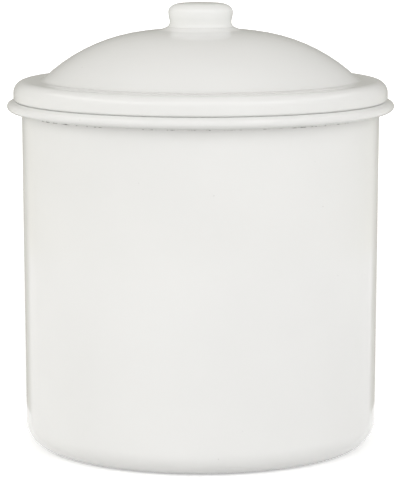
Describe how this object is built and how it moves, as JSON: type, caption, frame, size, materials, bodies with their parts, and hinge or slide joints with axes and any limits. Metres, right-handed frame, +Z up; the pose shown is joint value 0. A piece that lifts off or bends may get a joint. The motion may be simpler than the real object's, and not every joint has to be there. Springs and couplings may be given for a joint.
{
  "type": "enamel canister",
  "caption": "Round enamelled steel storage canister with a rolled rim and a lift-off domed lid with a collar and a hollow knob.",
  "frame": {"origin": "centre of the base, on the surface that the canister stands on", "axes": "+Z up along the canister's axis, through the mouth and the knob; X and Y lie in the base, and the canister is round about Z"},
  "size_m": [0.1753, 0.1752, 0.2016],
  "materials": {
    "white_enamel": "glossy fired enamel, warm white",
    "knob_enamel": "glossy fired enamel, neutral white",
    "zinc_plated_steel": "dull zinc plating",
    "stainless_steel": "turned stainless steel"
  },
  "bodies": {
    "canister": {"canister_body": "white_enamel"},
    "lid": {"lid_shell": "white_enamel", "lid_collar": "white_enamel", "knob_shell": "knob_enamel", "knob_bracket": "zinc_plated_steel", "knob_washer": "stainless_steel", "knob_screw": "stainless_steel"}
  },
  "joints": [
    {"name": "lid_lift", "type": "slide", "parent": "canister", "child": "lid", "axis": [0, 0, 1], "range_m": [0, 0.15]}
  ]
}
